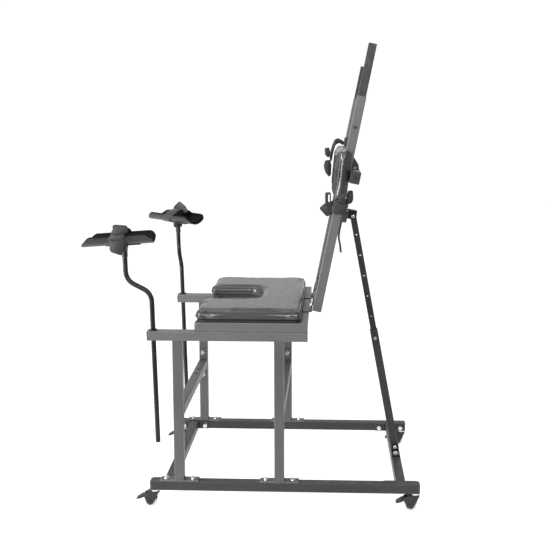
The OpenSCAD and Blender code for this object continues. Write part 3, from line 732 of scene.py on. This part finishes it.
def make_shoulder_pad():
    place = pad_matrix()
    thick, height, half = PAD_THICK, PAD_HEIGHT, PAD_HALF
    corner, end = 0.015, 0.009
    section = [(y + thick / 2, z + height / 2) for y, z in rounded_box(thick, height, corner)]
    centre = (thick / 2, height / 2)

    def ring(x, inset):
        fy = (thick - 2 * inset) / thick
        fz = (height - 2 * inset) / height
        return [Vector((x, centre[0] + (y - centre[0]) * fy, centre[1] + (z - centre[1]) * fz))
                for y, z in section]

    turns = [math.radians(18 * k) for k in range(6)]
    steps = [(end * (1 - math.cos(a)), end * (1 - math.sin(a))) for a in turns]
    rings = [ring(-half + back, inset) for back, inset in steps]
    rings += [ring(half - back, inset) for back, inset in reversed(steps)]
    verts = [place @ v for r in rings for v in r]
    faces = rings_to_faces(len(rings), len(section), False)
    pad = new_piece("shoulder_cover", verts, faces, PAD_VINYL, "back")
    channels = []
    for s in (-1, 1):
        cut = bpy.data.meshes.new("channel")
        sides = (s * BAR_X - CHANNEL_HALF, s * BAR_X + CHANNEL_HALF)
        box = [(x, y, z) for x in sides for y in (CHANNEL_FRONT, 0.07) for z in (0.38, 0.60)]
        cut.from_pydata([tuple(BACK @ Vector(p)) for p in box], [],
                        [(0, 1, 3, 2), (4, 6, 7, 5), (0, 4, 5, 1), (2, 3, 7, 6), (0, 2, 6, 4), (1, 5, 7, 3)])
        tool = bpy.data.objects.new("channel", cut)
        bpy.context.collection.objects.link(tool)
        channels.append(tool)
        carve = pad.modifiers.new("carve", "BOOLEAN")
        carve.object = tool
        carve.solver = "EXACT"
    depsgraph = bpy.context.evaluated_depsgraph_get()
    pad.data = bpy.data.meshes.new_from_object(pad.evaluated_get(depsgraph))
    pad.modifiers.clear()
    for tool in channels:
        bpy.data.objects.remove(tool)
    inverse = place.inverted()
    puff(pad, 0.0045, 4.0, 0.006, lambda p: (inverse @ p).y > 0.030, smooth=2)
    crown_ends(pad, place)
    clear_channels(pad)
    # Faces turned to the front take the darker matte copy: painted shade.
    pad.data.materials.append(PAD_SHADED_FRONT)
    facing = (place.to_3x3() @ Vector((0, -1, 0))).normalized()
    for face in pad.data.polygons:
        if face.normal.dot(facing) > 0.93:
            face.material_index = 1
    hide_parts("shoulder_pad")
    surface = BVHTree.FromObject(pad, bpy.context.evaluated_depsgraph_get())
    outline = [Vector((x, PAD_SEAM, z + height / 2)) for x, z in rounded_box(2 * half, height, 0.016, 6)]
    welt = []
    for point in curve_through(outline, 3, closed=True):
        spot, normal, _, _ = surface.find_nearest(place @ point)
        welt.append(spot + normal * 0.0004)
    for _ in range(4):
        welt = [(welt[i - 1] + welt[i] * 2 + welt[(i + 1) % len(welt)]) / 4 for i in range(len(welt))]
    inverse = BACK.inverted()
    ahead, radius = -0.0008, 0.0021
    for i, point in enumerate(welt):
        p = inverse @ point
        if abs(abs(p.x) - BAR_X) < 0.022:
            welt[i] = BACK @ Vector((p.x, min(p.y, ahead), p.z))
    round_sweep("shoulder_piping", welt, radius, PIPING, "back", closed=True)


# ---------------------------------------------------------------- leg rests


def trough_pad(side):
    """Padded liner of a leg cradle: it fills the shell's inside and rolls over its edges."""
    place = cradle_place(side)
    zc = CRADLE_RISE + CRADLE_R
    inner, outer = CRADLE_R - 0.0105, CRADLE_R - 0.0036
    top = 0.044 - zc
    columns, rows = 26, 34
    y1 = CRADLE_Y0 + CRADLE_LEN

    def reach(y):
        """Height of the shell's edge above its centre line at a place along it."""
        front = 0.016 + (y - CRADLE_Y0) * math.tan(math.radians(40))
        rear = 0.030 + (y1 - y) * math.tan(math.radians(45))
        return min(top, front - zc, rear - zc)

    verts, faces = [], []
    for layer, r in ((0, inner), (1, outer)):
        for i in range(rows + 1):
            y = CRADLE_Y0 + 0.003 + (CRADLE_LEN - 0.008) * i / rows
            edge = max(min(reach(y) / r, -0.12), -0.985)
            half = math.acos(-edge)
            for k in range(columns + 1):
                a = half * (2 * k / columns - 1)
                swell = 0.0013 * math.sin(math.pi * k / columns) if layer == 0 else 0
                verts.append(place @ Vector((r * math.sin(a), y, zc - (r - swell) * math.cos(a))))
    across = columns + 1
    count = across * (rows + 1)
    for i in range(rows):
        for k in range(columns):
            a = i * across + k
            faces.append((a, a + 1, a + across + 1, a + across))
            faces.append((count + a, count + a + across, count + a + across + 1, count + a + 1))
    rim = list(range(across))
    rim += [i * across + columns for i in range(1, rows + 1)]
    rim += [rows * across + k for k in range(columns - 1, -1, -1)]
    rim += [i * across for i in range(rows - 1, 0, -1)]
    for a, b in zip(rim, rim[1:] + rim[:1]):
        faces.append((a, count + a, count + b, b))
    liner = new_piece(side + "_cradle_liner", verts, faces, LINER, side + "_cradle")
    fine = liner.modifiers.new("fine", "SUBSURF")
    fine.levels = fine.render_levels = 1
    edge_path = [(verts[i] + verts[count + i]) / 2 for i in rim]
    round_sweep(side + "_cradle_binding", edge_path, 0.0036, LINER, side + "_cradle",
                closed=True)


# Flat pieces of each leg strap: name, place across the cradle, thickness, outline in millimetres
STRAP_ENDS = {
    "left": (("end", 0.0586, 0.0028, [(-29, 47), (19, 47), (16, 17), (5, -17.5), (-34, -1)]),
             ("fold", 0.0612, 0.0022, [(-28, 50), (20, 50), (18, 34), (-30, 33)]),
             ("loop", 0.0400, 0.0030, [(-22, 50), (-22, 78), (-16, 83), (21, 78), (27, 73), (25, 50)]),
             ("loop_back", 0.0350, 0.0030, [(-21, 52), (-21, 77), (-16, 81), (20, 76), (25, 72), (24, 52)])),
    "right": (("end", 0.0030, 0.0030,
               [(-17, 61), (-21, 70), (11, 97), (41, 79.5), (57, 58), (50, 53), (24, 54)]),
              ("fold", -0.0030, 0.0030,
               [(-15, 61), (-18, 69), (9, 94), (38, 78), (54, 57), (48, 53), (24, 54)])),
}


def leg_strap(side):
    """Strap round a cradle: under the shell, up past its edges and over the calf, its end outside."""
    place = cradle_place(side)
    body = side + "_cradle"
    zc = CRADLE_RISE + CRADLE_R
    low_r = CRADLE_R + 0.0018
    path = []
    for k in range(33):
        a = math.radians(-62 + 124 * k / 32)
        path.append(Vector((low_r * math.sin(a), -0.033, zc - low_r * math.cos(a))))
    middle, over_r = -0.030, 0.0933
    start = math.degrees(math.asin((0.046 - middle) / over_r))
    for k in range(1, 40):
        a = math.radians(start + (180 - 2 * start) * k / 40)
        path.append(Vector((over_r * math.cos(a), -0.033, middle + over_r * math.sin(a))))
    shift = 0.026 if side == "left" else 0.036
    for point in path:
        rise = min(max((point.z - 0.020) / 0.030, 0), 1)
        point.y += shift * rise * rise * (3 - 2 * rise)
    band = strap(side + "_strap_band", path, (0, 1, 0), 0.046, 0.0024, body, closed=True, to_row=place)
    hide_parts(side + "_leg_strap")
    for name, at, thick, outline in STRAP_ENDS[side]:
        patch(f"{side}_strap_{name}", soft(outline), at, thick, body, place)
    if side == "left":
        rows = [[Vector((0.0612, y, z)) for z in (0.042, 0.028)] for y in (-0.024, 0.014)]
    else:
        rows = [[p + Vector((0, edge, 0.0014)) for p in path[36:68]] for edge in (-0.019, 0.019)]
    stitches(side + "_strap_stitches", rows, body, (1, 0, 0) if side == "left" else (0, 0, 1),
             to_row=place)


# ---------------------------------------------------------------- cuffs on the back bars


def bar_loop(side, u0, extra, corner=0.005):
    """Closed path round a back bar at one height, in the back's frame."""
    middle = BAR_FRONT + BAR / 2
    return [Vector((side * BAR_X + x, middle + y, u0)) for x, y in
            rounded_box(BAR + 2 * extra, BAR + 2 * extra, corner, 4)]


# Flat pieces of the cuffs: name, distance from the middle, thickness in millimetres, outline
LEFT_PATCHES = [
    ("band_face", 0.2262, 3.0, [(-4, 400), (41, 401), (46, 364), (4, 354)]),
    ("fold_outer", 0.2095, 3.2, [(2, 399), (-28.7, 382.5), (-45, 361.6), (-14, 338.5), (4, 353)]),
    ("fold_inner", 0.2030, 3.2, [(2, 397), (-26, 381), (-41, 362), (-14, 342), (4, 356)]),
    ("rear_end", 0.2090, 8.0, [(35.6, 388), (58, 400), (60, 414), (53, 441.5), (37, 438)]),
    ("pad_turn", 0.2466, 2.6, [(7, 397), (35, 397), (34, 410), (28.5, 432.5), (18, 429)]),
]
RIGHT_PATCHES = [
    ("hanger", 0.2050, 16.0, [(0, 581), (-10, 585), (-24, 589), (-36, 581), (-41, 555), (-43, 524),
                              (-37, 499), (-30, 500), (-31, 534), (-29, 562), (-17, 573), (0, 567)]),
    ("upper_fold", 0.2040, 10.0, [(-41, 530), (-50, 548), (-66, 542), (-59, 517), (-48, 511), (-40, 514)]),
    ("lower_fold", 0.2080, 10.0, [(-55, 497), (-36, 503), (-28, 485), (-22, 448), (-28, 439), (-46, 454),
                                  (-56, 475)]),
    ("lower_face", 0.1990, 3.0, [(-50, 494), (-36, 497), (-30, 482), (-25, 450), (-30, 443), (-44, 457),
                                 (-52, 475)]),
]


def make_cuffs():
    body = "back"
    band = strap("left_cuff_band", bar_loop(1, 0.3800, 0.0018), (0, 0, 1), 0.044, 0.0024, body, closed=True,
                 to_row=BACK)
    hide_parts("wrist_straps")
    strap("left_cuff_second_turn", bar_loop(1, 0.3790, 0.0043, 0.006), (0, 0.09, 1), 0.040, 0.0022, body,
          closed=True, to_row=BACK)
    for name, at, thick, outline in LEFT_PATCHES:
        patch("left_cuff_" + name, soft(outline), at, thick / 1000, body, BACK)
    patch("left_cuff_keeper", soft([(-26.8, 375), (-35.8, 416.5), (-16.5, 420.5), (-7.4, 377)]), 0.206, 0.018,
          body, BACK, soft([(-18.4, 383), (-24.6, 412.5), (-19.4, 413.6), (-13.2, 384.2)]))
    patch("left_guide_loop", soft([(32, 506), (58, 512), (54, 528), (31, 552)]), 0.206, 0.016,
          body, BACK, soft([(38.5, 511.5), (50.5, 514), (47, 519.5), (41.5, 520.5)]))
    under = [(0.227, 0.023, 0.3985), (0.238, 0.023, 0.3985), (0.2475, 0.023, 0.3990)]
    strap("left_cuff_under_turn", curve_through(under, 4), (0, 1, 0), 0.022, 0.0024, body, to_row=BACK)
    tail = [(0.165, 0.0375, 0.3315), (0.165, 0.0390, 0.2810), (0.165, 0.0505, 0.2480),
            (0.166, 0.0575, 0.2260)]
    strap("left_cuff_tail", curve_through(tail, 8), (1, 0.1, 0), 0.025, 0.0050, body, to_row=BACK)
    strap("right_cuff_band", bar_loop(-1, 0.5825, 0.0018), (0, 0, 1), 0.0270, 0.0024, body, closed=True,
          to_row=BACK)
    for name, at, thick, outline in RIGHT_PATCHES:
        patch("right_cuff_" + name, soft(outline), -at, thick / 1000, body, BACK)
    rows = []
    for u in (0.3620, 0.3960):
        rows.append([Vector((BAR_X + 0.0230, v, u)) for v in (0.004, 0.012, 0.020, 0.028, 0.036)])
    stitches("left_cuff_stitches", rows, body, (1, 0, 0), to_row=BACK)


# ---------------------------------------------------------------- small metal and plastic detail


def square_path(corner, size, z, steps=10):
    """Rounded square path round a tube's foot, with close points for a rippled bead."""
    outline = [Vector((corner[0] + x, corner[1] + y, z)) for x, y in rounded_box(size, size, 0.004, 3)]
    return curve_through(outline, steps, closed=True)


def make_welds():
    for side in ("left", "right"):
        for row in ("front", "mid"):
            low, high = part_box(f"{side}_{row}_upright")
            middle = ((low.x + high.x) / 2, (low.y + high.y) / 2)
            path = square_path(middle, 0.0325, low.z + 0.0045)
            round_sweep(f"weld_{side}_{row}", path, 0.0013, PAINT, "stand", closed=True,
                        ripple=0.25, sides=6)


def pivot_caps():
    """Bright domed caps on the two heads of the strut's upper bolt."""
    levels = ((0.0, 0.0062), (0.0007, 0.0060), (0.0013, 0.0046), (0.0016, 0.0020))
    for name, start, sign in (("left", 0.0239, 1), ("right", -0.0247, -1)):
        verts = []
        for out, r in levels:
            for k in range(20):
                a = 2 * math.pi * k / 20
                rim = Vector((start + sign * out, PIVOT_V + r * math.cos(a), PIVOT_U + r * math.sin(a)))
                verts.append(BACK @ rim)
        new_piece("pivot_cap_" + name, verts, rings_to_faces(4, 20, False), BRIGHT, "back")


def caster_hood(tag):
    """Moulded hood over a caster wheel, open below, that turns with the fork."""
    low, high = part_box("caster_wheel_" + tag)
    cx, cy, cz = (low + high) / 2
    inner, outer, half = 0.0222, 0.0242, 0.0108
    profile = []
    for k in range(17):
        a = math.radians(20 + 125 * k / 16)
        profile.append((math.cos(a), math.sin(a)))
    section = ((-half, inner), (-half + 0.001, outer - 0.0008), (-half + 0.003, outer),
               (half - 0.003, outer), (half - 0.001, outer - 0.0008), (half, inner))
    verts = [(cx + x, cy + r * c, cz + r * s) for c, s in profile for x, r in section]
    faces = rings_to_faces(17, 6, False)
    new_piece("caster_hood_" + tag, verts, faces, PLASTIC, "caster_" + tag)


def wheel_hub(tag):
    """Raised ribs on both faces of a caster wheel."""
    low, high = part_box("caster_wheel_" + tag)
    centre = (low + high) / 2
    verts, faces = [], []
    for sign in (-1, 1):
        for k in range(6):
            turn = Matrix.Rotation(math.radians(60 * k), 4, "X")
            x0, x1 = sign * 0.0074, sign * 0.0086
            corners = [(x, y, z) for x, w in ((x0, 0.0014), (x1, 0.0009)) for y, z in
                       ((-w, 0.0072), (w, 0.0072), (w, 0.0143), (-w, 0.0143))]
            start = len(verts)
            verts += [centre + turn @ Vector(c) for c in corners]
            faces += [tuple(start + i for i in f) for f in
                      ((0, 3, 2, 1), (4, 5, 6, 7), (0, 1, 5, 4), (1, 2, 6, 5), (2, 3, 7, 6), (3, 0, 4, 7))]
    new_piece("wheel_ribs_" + tag, verts, faces, WHEEL, "wheel_" + tag, smooth=False)


def make_floor():
    mesh = bpy.data.meshes.new("floor")
    mesh.from_pydata([(-9, -5, 0), (1.0, -5, 0), (1.0, 5, 0), (-9, 5, 0)], [], [(0, 1, 2, 3)])
    mesh.materials.append(plain_floor())
    floor = bpy.data.objects.new("floor", mesh)
    bpy.context.collection.objects.link(floor)


bpy.context.scene.view_settings.view_transform = "Standard"
make_camera()
make_world()
make_light()
paint_nodes()
make_seat()
make_shoulder_pad()
for leg in ("left", "right"):
    trough_pad(leg)
    leg_strap(leg)
make_cuffs()
make_welds()
pivot_caps()
for tag in ("fl", "fr", "rl", "rr"):
    caster_hood(tag)
    wheel_hub(tag)
make_floor()
